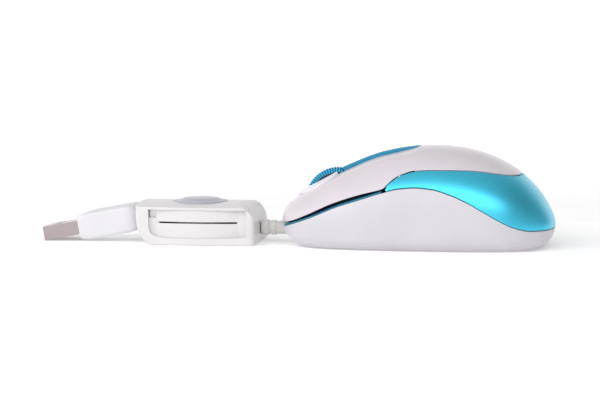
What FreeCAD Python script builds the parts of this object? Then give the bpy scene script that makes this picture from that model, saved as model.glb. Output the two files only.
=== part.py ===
"""Compact corded optical mouse with a retractable-cable reel and a USB-A plug.

Row frame, in millimetres: +Z up, the mouse's nose towards -X, its left side towards -Y.
The origin lies on the table under the middle of the mouse body. The mouse, the reel and the
plug lie in one line along X, with the cable wound fully into the reel.
"""
import FreeCAD, Part
import math
import os

import Sketcher

V = FreeCAD.Vector
X_AXIS, Y_AXIS, Z_AXIS = V(1, 0, 0), V(0, 1, 0), V(0, 0, 1)
doc = FreeCAD.newDocument("RetractableMouse")

# --- driving dimensions ------------------------------------------------------------------
DIMENSIONS = {
    # mouse body
    "half_length": 43.5, "base_level": 0.6, "floor_level": 2.2, "wall": 1.8, "part_gap": 0.25,
    # scroll wheel
    "wheel_x": -25.6, "wheel_level": 13.7, "wheel_radius": 10.9, "tyre_width": 5.6,
    "tyre_thickness": 1.7, "rib_depth": 0.45, "axle_radius": 1.2, "hub_web": 1.6,
    "bush_radius": 2.0, "bush_length": 2.4,
    # circuit board and its parts
    "board_level": 4.6, "board_thickness": 1.2, "board_length": 48.0, "board_width": 36.0,
    "switch_length": 12.8, "switch_width": 5.8, "switch_height": 6.5, "switch_y": 13.2,
    "plunger_x": -26.5, "plunger_radius": 0.9,
    "tact_height": 3.6,
    # cable and reel
    "cable_z_width": 3.5, "cable_thickness": 0.7, "winding_pitch": 0.76,
    "reel_x": -70.5, "reel_split": 7.15,
    "spool_radius": 13.5, "hub_radius": 9.0, "hub_wall": 0.7, "flange": 0.5,
    "middle_flange_radius": 12.2, "spool_bottom": 2.45, "middle_level": 6.65,
    "middle_thickness": 0.6, "spool_top": 11.05, "pin_radius": 1.5,
    "cap_radius": 8.85, "cap_height": 1.75,
    # plug
    "plug_front": -109.5, "plug_level": 4.45, "plug_pitch": 10.5,
    "shell_length": 12.0, "shell_width": 12.0, "shell_height": 4.5, "shell_metal": 0.3,
    "shell_embed": 6.0,
}
sheet = doc.addObject("Spreadsheet::Sheet", "Dims")
for row, (alias, value) in enumerate(DIMENSIONS.items(), start=1):
    sheet.set(f"A{row}", alias)
    sheet.set(f"B{row}", str(value))
    sheet.setAlias(f"B{row}", alias)
doc.recompute()


def dim(alias):
    return float(sheet.get(alias))


# --- shared construction helpers ---------------------------------------------------------
NODES = []


def node(obj, label):
    """Marks a document object as one sub-part, whose label names its file."""
    obj.Label = label
    NODES.append(obj)
    return obj


def feature(label, shape, keep=True):
    """A sub-part, or a helper if keep is false, whose shape comes from Part's own functions."""
    obj = doc.addObject("Part::Feature", label)
    obj.Shape = shape
    return node(obj, label) if keep else obj


def bind(obj, **sizes):
    """Binds properties to expressions over the sheet's cells."""
    for prop, formula in sizes.items():
        obj.setExpression(prop, formula)
    return obj


def cells(formula):
    """A formula over cell names, with the sheet's name put before each."""
    out, word = "", ""
    for char in formula + " ":
        if char.isalnum() or char == "_":
            word += char
            continue
        out += ("Dims." if word in DIMENSIONS else "") + word + char
        word = ""
    return out.strip()


# A hidden line's end carries a formula so that its worth can be read back.
reader = doc.addObject("Part::Line", "formula_reader")


def worth(formula):
    """What a formula over cell names is worth now."""
    reader.setExpression("X1", cells(formula))
    reader.recompute()
    return reader.X1.Value


def sketch_on(body, name, role, points):
    """A closed straight-sided sketch on one origin plane, each corner bound to two formulas."""
    sketch = body.newObject("Sketcher::SketchObject", name)
    plane = next(f for f in body.Origin.OriginFeatures if f.Role == role)
    sketch.AttachmentSupport = [(plane, "")]
    sketch.MapMode = "FlatFace"
    corners = [V(worth(a), worth(b), 0) for a, b in points]
    count = len(corners)
    for i in range(count):
        sketch.addGeometry(Part.LineSegment(corners[i], corners[(i + 1) % count]), False)
    for i in range(count):
        sketch.addConstraint(Sketcher.Constraint("Coincident", i, 2, (i + 1) % count, 1))
    for i, (a, b) in enumerate(points):
        for kind, formula, number in (("DistanceX", a, corners[i].x), ("DistanceY", b, corners[i].y)):
            at = sketch.addConstraint(Sketcher.Constraint(kind, -1, 1, i, 1, number))
            sketch.renameConstraint(at, f"{kind}{i}")
            sketch.setExpression(f"Constraints.{kind}{i}", cells(formula))
    return sketch


def turned(label, points, keep=True):
    """A body turned about its own Z axis from (radius, height) corners."""
    body = doc.addObject("PartDesign::Body", label)
    sketch = sketch_on(body, label + "_profile", "XZ_Plane", points)
    turn = body.newObject("PartDesign::Revolution", label + "_turn")
    turn.Profile = sketch
    turn.ReferenceAxis = (sketch, ["V_Axis"])
    turn.Angle = 360
    return node(body, label) if keep else body


def padded(label, points, thickness, keep=True):
    """A body padded upwards from (x, y) corners."""
    body = doc.addObject("PartDesign::Body", label)
    sketch = sketch_on(body, label + "_outline", "XY_Plane", points)
    pad = body.newObject("PartDesign::Pad", label + "_pad")
    pad.Profile = sketch
    pad.setExpression("Length", cells(thickness))
    return node(body, label) if keep else body


def box(x_low, x_high, y_low, y_high, z_low, z_high):
    return Part.makeBox(x_high - x_low, y_high - y_low, z_high - z_low, V(x_low, y_low, z_low))


def rod(radius, start, end):
    return Part.makeCylinder(radius, (end - start).Length, start, end - start)


def place(obj, base, axis=Z_AXIS, angle=0.0):
    obj.Placement = FreeCAD.Placement(base, FreeCAD.Rotation(axis, angle))
    return obj


def ribbon(inner_radius, pitch, half_turns, thickness, level, height):
    """A flat strip wound on its edge: semicircles about two centres half a pitch apart."""
    inner, outer = [], []
    for k in range(half_turns):
        centre = V(pitch / 2 * (k % 2), 0, level)
        side = 1 if k % 2 == 0 else -1
        growth = inner_radius + k * pitch / 2
        for edges, radius in ((inner, growth), (outer, growth + thickness)):
            start, end = centre + V(side * radius, 0, 0), centre - V(side * radius, 0, 0)
            top = centre + V(0, side * radius, 0)
            edges.append(Part.Arc(start, top, end).toShape())
    ends = [Part.makeLine(line[i].Vertexes[j].Point, other[i].Vertexes[j].Point)
            for line, other, i, j in ((inner, outer, 0, 0), (inner, outer, -1, -1))]
    outline = Part.Wire(Part.__sortEdges__(inner + outer + ends))
    return Part.Face(outline).extrude(V(0, 0, height))


def through(points, closed=False):
    """An edge running smoothly through the points."""
    curve = Part.BSplineCurve()
    curve.interpolate(Points=points, PeriodicFlag=closed)
    return curve.toShape()


def curtain(runs, y_low, y_high):
    """A prism along Y. Each run is (smooth or straight, its x-z points), joined end to end."""
    edges = []
    for smooth, points in runs:
        spots = [V(x, y_low, z) for x, z in points]
        if smooth:
            edges.append(through(spots))
        else:
            edges += [Part.makeLine(p, q) for p, q in zip(spots, spots[1:])]
    face = Part.Face(Part.Wire(Part.__sortEdges__(edges)))
    return face.extrude(V(0, y_high - y_low, 0))


def fused(shapes):
    """One solid out of touching or overlapping ones."""
    return shapes[0].multiFuse(shapes[1:]).removeSplitter() if len(shapes) > 1 else shapes[0]


# --- hull of the mouse -------------------------------------------------------------------
# Twelve equal steps of a half turn run from the nose to the tail, so that both ends come out
# rounded. Each row holds the half width, the crown's rise above the waist and the keel's depth.
STATION_STEP = math.pi / 12
HALF_WIDTHS = (0, 11.4, 17.2, 21.2, 23.6, 24.9, 25.4, 25.6, 24.9, 22.8, 18.8, 12.4, 0)
CROWN_RISES = (0, 5.1, 9.1, 13.4, 18.2, 22.6, 24.7, 24.6, 22.3, 17.8, 11.5, 4.8, 0)
KEEL_DEPTHS = (0, 2.4, 5.9, 7.4, 7.7, 7.8, 7.8, 7.8, 7.8, 7.7, 7.0, 4.3, 0)
UPPER_POWER, LOWER_POWER = 2.3, 4.0
WAIST = 6.9


def station(row, turn):
    """A row's value at a turn from the nose, by a cubic through its four nearest stations."""
    place_on = turn / STATION_STEP
    first = min(int(place_on), 11)
    share = place_on - first

    def entry(i):
        return -row[-i] if i < 0 else (-row[24 - i] if i > 12 else row[i])

    a, b, c, d = (entry(first + k) for k in (-1, 0, 1, 2))
    bend = (2 * a - 5 * b + 4 * c - d) * share ** 2 + (3 * b - a - 3 * c + d) * share ** 3
    return b + 0.5 * ((c - a) * share + bend)


def hull_section(turn, inset, count=32):
    """Points round a closed section of the hull, moved in by the inset, from underneath."""
    x = -(dim("half_length") - inset) * math.cos(turn)
    width = max(station(HALF_WIDTHS, turn) - inset, 0.5)
    rise = max(station(CROWN_RISES, turn) - inset, 0.5)
    depth = max(station(KEEL_DEPTHS, turn) - inset, 0.4)
    points = []
    for k in range(count + 1):
        angle = 2 * math.pi * k / count - math.pi / 2
        power, reach = (UPPER_POWER, rise) if math.sin(angle) >= 0 else (LOWER_POWER, depth)
        cosine, sine = abs(math.cos(angle)), abs(math.sin(angle))
        radius = (cosine ** power + sine ** power) ** (-1 / power)
        y = width * radius * cosine * (1 if math.cos(angle) >= 0 else -1)
        points.append(V(x, y, WAIST + reach * radius * sine * (1 if math.sin(angle) >= 0 else -1)))
    points[-1] = points[0]
    return points


def hull(inset, flat_level):
    """The whole hull as a solid, flat underneath, with small flat ends at nose and tail."""
    turns = [0.1] + [STATION_STEP * k / 2 for k in range(1, 24)] + [math.pi - 0.1]
    sections = [hull_section(t, inset) for t in turns]
    half = len(sections[0]) // 2
    skins = []
    for low, high in ((0, half), (half, 2 * half)):
        skin = Part.BSplineSurface()
        skin.interpolate([s[low:high + 1] for s in sections])
        skins.append(skin.toShape())
    ends = []
    for at in (sections[0][0].x, sections[-1][0].x):
        rims = [e for f in skins for e in f.Edges
                if abs(e.BoundBox.XMin - at) + abs(e.BoundBox.XMax - at) < 1e-3]
        ends.append(Part.Face(Part.Wire(Part.__sortEdges__(rims))))
    closed = Part.Shell(skins + ends)
    closed.sewShape()
    whole = Part.Solid(closed)
    if whole.Volume < 0:
        whole.reverse()
    return whole.cut(box(-60, 60, -40, 40, -20, flat_level))


wall, gap = dim("wall"), dim("part_gap")
outer_hull = hull(0, dim("base_level"))
inner_hull = hull(wall, dim("floor_level"))
shell_wall = outer_hull.cut(inner_hull)

# Seam lines seen from the side, as x-z points.
FRONT_SEAM_LOW = [(-44.5, 5.6), (-39.7, 7.2), (-32.2, 10.0), (-23.7, 13.6), (-15.5, 16.3), (-9.6, 18.2)]
FRONT_SEAM_TOP = [(-44.5, 6.9), (-38.7, 8.7), (-34.2, 10.7), (-25.4, 14.8), (-17.1, 17.5), (-9.2, 19.2)]
SIDE_SEAM_LOW = [(-9.6, 18.2), (-4.4, 19.5), (0.6, 19.9), (5.7, 19.5), (12.0, 17.7), (16.8, 15.6),
                 (21.5, 13.0), (26.2, 10.3), (29.9, 8.4), (33.5, 7.1), (37.0, 6.5), (44.5, 6.4)]
SIDE_SEAM_TOP = [(-9.2, 19.2), (-7.8, 20.7), (-5.5, 22.6), (-3.0, 23.9), (0.2, 24.8), (5.5, 25.2),
                 (11.7, 25.2), (16.6, 25.1), (21.2, 24.7), (25.8, 24.0), (30.0, 23.3), (36.0, 22.8)]
STRIP_HALF_WIDTH = 2.9
STRIP_FRONT, STRIP_REAR = -24.4, 0.9
FLEX_X = 0.5


def raised(points, by):
    return [(x, z + by) for x, z in points]


def straight(*points):
    return False, list(points)


# Lower shell: everything under the front seam and the side seam.
low_curtain = curtain([(True, FRONT_SEAM_LOW), (True, SIDE_SEAM_LOW),
                       straight((44.5, 6.4), (44.5, -2), (-44.5, -2), (-44.5, 5.6))], -40, 40)
base = shell_wall.common(low_curtain)
floor_boss_spots = [(-34, 9), (-34, -9), (18, 0)]
bosses = [Part.makeCylinder(2.6, 2.5, V(x, y, 2.1)) for x, y in floor_boss_spots[:2]]
bosses.append(Part.makeCylinder(3.2, 9.8, V(18, 0, 2.1)))
base = fused([base] + bosses)
lens_window = box(-3.5, 5.5, -4.5, 4.5, 0, 3)
screw_bore = rod(1.15, V(18, 0, 3.2), V(18, 0, 13))
cable_mouth = box(-46, -39, -2.35, 2.35, 2.6, 7.4)
base = base.cut(Part.Compound([lens_window, screw_bore, cable_mouth]))
feature("base_shell", base)

# Blue panel: the band between the two side seams, wrapping round the tail.
panel_curtain = curtain([(True, raised(SIDE_SEAM_LOW, gap)),
                         straight((44.5, 6.4 + gap), (44.5, 22.8), (36.0, 22.8)),
                         (True, SIDE_SEAM_TOP), straight((-9.2, 19.2), (-9.6, 18.2 + gap))], -40, 40)
feature("blue_side_panel", shell_wall.common(panel_curtain))

# Upper shell: rear cover and two buttons, parted at the flexure line and along the middle.
def above(seams, end):
    runs = [(True, line) for line in seams]
    start = seams[0][0]
    return runs + [straight(seams[-1][-1], (end, 40), (start[0], 40), start)]


lip_curtain = curtain(above([raised(FRONT_SEAM_TOP, 0.4), raised(SIDE_SEAM_TOP, 0.4)], 36.0), -40, 40)
upper = shell_wall.common(lip_curtain)

# Oval collar round the wheel, tilted with the nose.
COLLAR_CENTRE = V(-30.1, 0, 20.9)
COLLAR_TILT = math.atan2(7.6, 12.2)
along = V(math.cos(COLLAR_TILT), 0, math.sin(COLLAR_TILT))
outward = V(-math.sin(COLLAR_TILT), 0, math.cos(COLLAR_TILT))


def oval(half_long, half_wide, low, high):
    """An upright oval prism on the collar's plane, between two heights along its normal."""
    ring = Part.Ellipse(V(0, 0, 0), half_long, half_wide).toShape()
    prism = Part.Face(Part.Wire([ring])).extrude(V(0, 0, high - low))
    turn = FreeCAD.Rotation(along, Y_AXIS, outward, "ZXY")
    prism.Placement = FreeCAD.Placement(COLLAR_CENTRE + outward * low, turn)
    return prism


wheel_room = rod(dim("wheel_radius") + 0.45, V(dim("wheel_x"), -3.3, dim("wheel_level")),
                 V(dim("wheel_x"), 3.3, dim("wheel_level")))
collar = oval(8.5, 7.6, -3.2, 3).common(hull(-0.8, 8)).cut(oval(7.25, 3.6, -5, 4)).cut(wheel_room)
feature("wheel_bezel", collar)
collar_room = oval(8.8, 7.9, -6, 6)
strip_room = box(STRIP_FRONT - 4, STRIP_REAR + 0.2, -STRIP_HALF_WIDTH - 0.2, STRIP_HALF_WIDTH + 0.2, 10, 40)
feature("top_cover", upper.common(box(FLEX_X, 60, -40, 40, 0, 40)).cut(strip_room))
relief_room = rod(3.1, V(-50, 0, 4.8), V(-38, 0, 4.8))
nose_slit = box(-60, FLEX_X, -0.15, 0.15, 0, 40)
front = upper.common(box(-60, FLEX_X - 0.2, -40, 40, 0, 40))
front = front.cut(Part.Compound([collar_room, strip_room, nose_slit])).cut(wheel_room).cut(relief_room)
plunger_x, switch_y = dim("plunger_x"), dim("switch_y")
board_top = dim("board_level") + dim("board_thickness")
plunger_top = board_top + dim("switch_height") + 1.0
for name, side in (("left_button", -1), ("right_button", 1)):
    half = front.common(box(-60, 10, min(0, side * 40), max(0, side * 40), 0, 40))
    post = rod(1.6, V(plunger_x, side * switch_y, plunger_top + 0.02), V(plunger_x, side * switch_y, 18.6))
    piece = half.fuse(post)
    feature(name, max(piece.Solids, key=lambda s: s.Volume))

raised_hull = hull(-0.35, 10)
strip = raised_hull.cut(inner_hull).common(box(-24, STRIP_REAR, -STRIP_HALF_WIDTH, STRIP_HALF_WIDTH, 10, 40))
feature("centre_strip", strip.cut(collar_room).cut(wheel_room))

# Blue ledge showing through the front seam, with a skirt behind the lower shell's lip.
ledge_low, ledge_high = raised(FRONT_SEAM_LOW, 0.03), raised(FRONT_SEAM_LOW, 0.4)


def band(low, high):
    sides = [(True, low), straight(low[-1], high[-1]), (True, high), straight(high[0], low[0])]
    return curtain(sides, -40, 40)


ledge = hull(0.7, 2).cut(hull(3.0, 2)).common(band(ledge_low, ledge_high))
skirt = hull(wall + 0.1, 2).cut(hull(3.0, 2)).common(band(raised(FRONT_SEAM_LOW, -2.2), ledge_high))
frame = ledge.fuse(skirt).cut(Part.Compound([oval(9.2, 8.3, -8, 6), box(-60, -37, -3, 3, 0, 8)]))
joined = frame.fuse(box(-40.2, -38.8, -6.5, 6.5, 7.3, 8.2))
feature("inner_frame", max(joined.Solids, key=lambda s: s.Volume))

# --- scroll wheel ------------------------------------------------------------------------
wheel_spot = V(dim("wheel_x"), 0, dim("wheel_level"))
lie = FreeCAD.Rotation(X_AXIS, 90)


def lay(obj, x, y, z):
    """Turns an object made about Z so that its axis runs towards -Y, from the given point."""
    obj.Placement = FreeCAD.Placement(V(x, y, z), lie)
    return obj


RIBS = 60
rib_angle = 2 * math.pi / RIBS
outer_r = dim("wheel_radius")
inner_r = outer_r - dim("tyre_thickness")
root_r = outer_r - dim("rib_depth")
rim_points = []
for k in range(RIBS):
    for share, radius in ((0.0, root_r), (0.3, outer_r), (0.7, outer_r)):
        turned_by = (k + share) * rib_angle
        rim_points.append(V(radius * math.cos(turned_by), radius * math.sin(turned_by), 0))
rim = Part.Face(Part.makePolygon(rim_points + rim_points[:1]))
tyre = rim.extrude(V(0, 0, dim("tyre_width"))).cut(Part.makeCylinder(inner_r, 20, V(0, 0, -5)))
lay(feature("wheel_tyre", tyre), dim("wheel_x"), dim("tyre_width") / 2, dim("wheel_level"))
hub = turned("wheel_hub", [
    ("axle_radius", "0 - tyre_width / 2"), ("axle_radius + 1.6", "0 - tyre_width / 2"),
    ("axle_radius + 1.6", "0 - hub_web / 2"), ("wheel_radius - tyre_thickness - 1.4", "0 - hub_web / 2"),
    ("wheel_radius - tyre_thickness - 1.4", "0 - tyre_width / 2"),
    ("wheel_radius - tyre_thickness", "0 - tyre_width / 2"),
    ("wheel_radius - tyre_thickness", "tyre_width / 2"),
    ("wheel_radius - tyre_thickness - 1.4", "tyre_width / 2"),
    ("wheel_radius - tyre_thickness - 1.4", "hub_web / 2"),
    ("axle_radius + 1.6", "hub_web / 2"), ("axle_radius + 1.6", "tyre_width / 2"),
    ("axle_radius", "tyre_width / 2")])
lay(hub, *wheel_spot)
axle = doc.addObject("Part::Cylinder", "wheel_axle_rod")
bind(axle, Radius="Dims.axle_radius")
axle.Height = 18.6
lay(node(axle, "wheel_axle"), dim("wheel_x"), 9.6, dim("wheel_level"))
bush = turned("axle_bush", [
    ("axle_radius + 0.05", "0"), ("bush_radius + 0.4", "0"), ("bush_radius + 0.4", "bush_length"),
    ("axle_radius + 0.05", "bush_length")])
lay(bush, dim("wheel_x"), -5.9, dim("wheel_level"))

# Encoder: a square case standing on the board beside the wheel.
encoder = box(-30, -21, 5.0, 9.9, board_top, 16.4).cut(rod(1.9, V(-25.6, 4, 13.7), V(-25.6, 12, 13.7)))
feature("wheel_encoder", encoder)

# --- circuit board -----------------------------------------------------------------------
slab = padded("board_slab", [
    ("0 - 36", "0 - board_width / 2 + 6.5"), ("0 - 30", "0 - board_width / 2"),
    ("board_length - 36", "0 - board_width / 2"), ("board_length - 36", "board_width / 2"),
    ("0 - 30", "board_width / 2"), ("0 - 36", "board_width / 2 - 6.5")], "board_thickness", keep=False)
place(slab, V(0, 0, dim("board_level")))
slot = doc.addObject("Part::Box", "wheel_slot")
bind(slot, Width="Dims.tyre_width + 2", Height="Dims.board_thickness + 2")
slot.Length = 17.5
place(slot, V(-34.3, -dim("tyre_width") / 2 - 1, dim("board_level") - 1))
slotted = doc.addObject("Part::Cut", "slotted_board")
slotted.Base, slotted.Tool = slab, slot
sensor_hole = doc.addObject("Part::Box", "sensor_hole")
sensor_hole.Length, sensor_hole.Width, sensor_hole.Height = 5, 5, 4
place(sensor_hole, V(-2.5, -2.5, 3.6))
board = doc.addObject("Part::Cut", "board_with_slots")
board.Base, board.Tool = slotted, sensor_hole
node(board, "circuit_board")

for name, side in (("left", -1), ("right", 1)):
    case = doc.addObject("Part::Box", f"{name}_switch_case")
    bind(case, Length="Dims.switch_length", Width="Dims.switch_width", Height="Dims.switch_height")
    place(case, V(-24 - 6.4, side * switch_y - 2.9, board_top))
    bore = doc.addObject("Part::Cylinder", f"{name}_switch_bore")
    bind(bore, Radius="Dims.plunger_radius + 0.06")
    bore.Height = 2.0
    place(bore, V(plunger_x, side * switch_y, board_top + dim("switch_height") - 1.7))
    body = doc.addObject("Part::Cut", f"{name}_switch_cut")
    body.Base, body.Tool = case, bore
    node(body, f"{name}_switch")
    pin = doc.addObject("Part::Cylinder", f"{name}_plunger_rod")
    bind(pin, Radius="Dims.plunger_radius")
    pin.Height = 1.95
    place(node(pin, f"{name}_plunger"), V(plunger_x, side * switch_y, plunger_top - 1.95))

tact = box(-28.6, -22.6, -10.1, -4.1, board_top, board_top + dim("tact_height"))
tact = tact.cut(rod(1.56, V(-25.6, -7.1, board_top + 1.8), V(-25.6, -7.1, 12)))
feature("wheel_switch", tact)
tact_pin = doc.addObject("Part::Cylinder", "wheel_plunger_rod")
tact_pin.Radius, tact_pin.Height = 1.5, 3.1
place(node(tact_pin, "wheel_plunger"), V(-25.6, -7.1, 8.15))

sensor = box(-6.9, 5.8, -5.0, 5.0, board_top, board_top + 2.6).cut(box(-1.2, 1.2, -1.2, 1.2, 5, 7))
feature("image_sensor", sensor)
lens = fused([box(-3.3, 5.3, -4.3, 4.3, 1.0, 2.6), box(-5, 9, -5.5, 5.5, 2.35, 3.2)])
feature("sensor_lens", fused([lens, rod(2.0, V(0, 0, 3.0), V(0, 0, 4.4))]))
lamp = turned("led", [
    ("0", "0"), ("1.9", "0"), ("1.9", "1.0"), ("1.5", "1.0"), ("1.5", "4.2"), ("1.3", "4.8"),
                      ("0.8", "5.2"), ("0", "5.35")])
lamp.Placement = FreeCAD.Placement(V(11.5, 0, 8.0), FreeCAD.Rotation(Y_AXIS, -90))
clip = box(7.2, 12.4, -3.2, 3.2, board_top, 11.2).cut(rod(1.95, V(5, 0, 8.0), V(11.55, 0, 8.0)))
feature("led_clip", clip)
feature("capacitor", rod(2.5, V(2, 12.5, board_top), V(2, 12.5, board_top + 7)))
feature("board_connector", box(-34.6, -31.2, 4.6, 9.6, board_top, 9.2))
lead_stops = [V(-38.9, 0.9, 4.8), V(-37.2, 2.0, 6.0), V(-36.6, 5.0, 7.5), V(-36.2, 7.0, 7.6),
              V(-34.62, 7.0, 7.6)]
lead_runs = [rod(0.8, p, q) for p, q in zip(lead_stops, lead_stops[1:])]
lead_bends = [Part.makeSphere(0.8, p) for p in lead_stops[1:-1]]
lead = fused(lead_runs + lead_bends)
feature("inner_lead", lead)
screw = turned("case_screw", [
    ("0", "0"), ("1.1", "0"), ("1.1", "7.6"), ("0", "8.6")])
place(screw, V(18, 0, 3.25))

# --- glide feet --------------------------------------------------------------------------
arc_disc = rod(16.5, V(-17.5, 0, 0), V(-17.5, 0, 0.6)).cut(rod(12.6, V(-17.5, 0, -1), V(-17.5, 0, 2)))
feature("front_glide", arc_disc.common(box(-36, -27.5, -13, 13, -1, 2)))
for name, side in (("left", -1), ("right", 1)):
    pad = doc.addObject("Part::Box", f"{name}_glide_pad")
    pad.Length, pad.Width, pad.Height = 10, 4, 0.6
    place(node(pad, f"rear_glide_{name}"), V(23, side * 11 - 2, 0))

# --- strain relief and the cable leaving the nose ----------------------------------------
STRAIN_PROFILE = [("1.82", "0"), ("2.35", "0"), ("2.55", "0.5"), ("2.55", "2.2"), ("2.1", "2.5"),
                  ("2.1", "2.9"), ("2.4", "3.1"), ("2.4", "4.6"), ("2.1", "4.8"), ("2.1", "5.2"),
                  ("2.15", "5.4"), ("2.15", "11.2"),
                  ("1.82", "11.2")]
relief = turned("cable_grommet", STRAIN_PROFILE)
relief.Placement = FreeCAD.Placement(V(-50.5, 0, 4.8), FreeCAD.Rotation(Y_AXIS, 90))


def strip_between(label, x_low, x_high, level):
    """A straight run of the flat cable along X, standing on its edge."""
    run = doc.addObject("Part::Box", label + "_run")
    bind(run, Width="Dims.cable_thickness", Height="Dims.cable_z_width")
    run.Length = x_high - x_low
    place(run, V(x_low, -dim("cable_thickness") / 2, level - dim("cable_z_width") / 2))
    return node(run, label)


strip_between("mouse_cable", -50.9, -39.9, 4.8)

# --- cable reel --------------------------------------------------------------------------
reel_x = dim("reel_x")


def lead_out(start, end, level, grow):
    """A straight run of flat cable between two plan points, made thicker by grow all round."""
    reach = V(end[0] - start[0], end[1] - start[1], 0)
    thickness, width = dim("cable_thickness") + 2 * grow, dim("cable_z_width") + 2 * grow
    run = Part.makeBox(reach.Length, thickness, width)
    turn = FreeCAD.Rotation(X_AXIS, reach)
    corner = V(start[0], start[1], level - width / 2) - turn.multVec(V(0, thickness / 2, 0))
    run.Placement = FreeCAD.Placement(corner, turn)
    return run


LEAD_RADIUS = 14.02


def lead_shapes(grow):
    """The two runs of cable from the windings, tangent to them, to the frame's two ends."""
    shapes = {}
    exits = (("mouse_lead", 1, -53.6, -51.1, 4.8), ("plug_lead", -1, -88.6, -89.3, 9.1))
    for name, side, exit_x, outside, level in exits:
        angle = math.acos(LEAD_RADIUS / abs(exit_x - reel_x))
        start = (reel_x + side * LEAD_RADIUS * math.cos(angle), side * LEAD_RADIUS * math.sin(angle))
        slant = lead_out(start, (exit_x, 0), level, grow)
        half_t, half_h = dim("cable_thickness") / 2 + grow, dim("cable_z_width") / 2 + grow
        low, high = sorted((exit_x - side * 0.3, outside + side * grow))
        straight_end = box(low, high, -half_t, half_t, level - half_h, level + half_h)
        shapes[name] = slant.fuse(straight_end).removeSplitter()
    return shapes


PLAN_SIDE = [(-88.3, -13.9), (-80.0, -14.5), (-70.4, -14.8), (-60.8, -14.5), (-52.1, -13.9)]
PLAN_CORNERS = [[(-88.3, -13.9), (-89.15, -13.35), (-89.5, -12.4)],
                [(-52.1, -13.9), (-51.25, -13.35), (-50.9, -12.4)]]
plan_edges = [Part.makeLine(V(x, -12.4, 0), V(x, 12.4, 0)) for x in (-89.5, -50.9)]
for side in (-1, 1):
    plan_edges.append(through([V(x, -side * y, 0) for x, y in PLAN_SIDE]))
    for corner in PLAN_CORNERS:
        plan_edges.append(Part.Arc(*[V(x, -side * y, 0) for x, y in corner]).toShape())
plan_face = Part.Face(Part.Wire(Part.__sortEdges__(plan_edges)))
SIDE_OUTLINE = [
    straight((-89.5, 13.2), (-89.5, 16.0), (-58.0, 16.0), (-58.0, 13.2)),
    (True, [(-58.0, 13.2), (-54.9, 12.2), (-52.4, 10.2), (-51.2, 7.6), (-50.9, 4.5)]),
    straight((-50.9, 4.5), (-50.9, 0.4), (-51.2, 0.2), (-84.2, 0.2)),
    (True, [(-84.2, 0.2), (-86.8, 1.9), (-88.5, 4.9), (-89.3, 9.0), (-89.5, 13.2)])]
crown = [V(-95, y, 13.15 - 1.1 * (y / 15) ** 2) for y in (-15, -10, -5, 0, 5, 10, 15)]
crown_edges = [through(crown), Part.makeLine(crown[-1], V(-95, 15, -1)),
               Part.makeLine(V(-95, 15, -1), V(-95, -15, -1)),
               Part.makeLine(V(-95, -15, -1), crown[0])]
crown_block = Part.Face(Part.Wire(Part.__sortEdges__(crown_edges))).extrude(V(60, 0, 0))
frame_block = plan_face.extrude(V(0, 0, 16)).common(curtain(SIDE_OUTLINE, -20, 20)).common(crown_block)
WINDOW = [straight((-85.2, 11.3), (-53.6, 11.3), (-53.6, 2.7)),
          (True, [(-53.6, 2.7), (-62.0, 2.3), (-72.0, 2.2), (-80.0, 2.4), (-83.6, 3.2), (-85.0, 5.2)]),
          straight((-85.0, 5.2), (-85.2, 11.3))]
hollow = frame_block.cut(curtain(WINDOW, -20, 20))
pin_bore = rod(dim("pin_radius"), V(reel_x, 0, 1.0), V(reel_x, 0, 12.2))
cap_seat = rod(dim("cap_radius") + 0.1, V(reel_x, 0, 12.55), V(reel_x, 0, 16))
drum_room = rod(dim("spool_radius") + 0.3, V(reel_x, 0, 2.08), V(reel_x, 0, 11.3))
carved = hollow.cut(pin_bore).cut(cap_seat).cut(drum_room)
posts = []
# Guard bands bowed a little along the windings, with a slit between the two storeys.
guard_reach, guard_sag = 14.6, 1.9
guard_radius = (guard_reach ** 2 + guard_sag ** 2) / (2 * guard_sag)
for side in (-1, 1):
    posts.append(box(-85.6, -81.7, min(side * 9.9, side * 13.0), max(side * 9.9, side * 13.0), 2.0, 8.7))
    posts.append(box(-56.6, -53.2, min(side * 8.5, side * 12.6), max(side * 8.5, side * 12.6), 2.0, 11.8))
    centre = V(reel_x, side * (14.45 - guard_radius), 0)
    for low, high in ((2.0, 6.95), (7.5, 11.6)):
        sheet_ring = rod(guard_radius, centre + V(0, 0, low), centre + V(0, 0, high))
        sheet_ring = sheet_ring.cut(rod(guard_radius - 0.55, centre + V(0, 0, low), centre + V(0, 0, high)))
        slab = box(-82.6, -56.0, min(side * 11, side * 15), max(side * 11, side * 15), low, high)
        posts.append(sheet_ring.common(slab))
reel_body = fused([carved] + posts)
for shape in lead_shapes(0.25).values():
    reel_body = reel_body.cut(shape)
split = dim("reel_split")
lower_half = reel_body.common(box(-100, -40, -20, 20, -1, split))
upper_half = reel_body.common(box(-100, -40, -20, 20, split, 20))
feature("reel_base", max(lower_half.Solids, key=lambda s: s.Volume))
feature("reel_lid", max(upper_half.Solids, key=lambda s: s.Volume))

cap = turned("reel_cap", [
    ("0", "0"), ("cap_radius", "0"), ("cap_radius", "0.5"), ("cap_radius - 0.25", "0.72"),
    ("cap_radius - 1.6", "0.95"), ("cap_radius - 3.4", "cap_height - 0.22"),
    ("cap_radius - 5.8", "cap_height - 0.06"),
    ("0", "cap_height")])
place(cap, V(reel_x, 0, 12.6))
pin = doc.addObject("Part::Cylinder", "reel_pin_rod")
bind(pin, Radius="Dims.pin_radius")
pin.Height = 11.1
place(node(pin, "reel_pin"), V(reel_x, 0, 1.05))
latch = doc.addObject("Part::Box", "latch_block")
latch.Length, latch.Width, latch.Height = 3.6, 2.2, 2.3
place(node(latch, "reel_latch"), V(-85.0, -12.2, 8.75))

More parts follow.
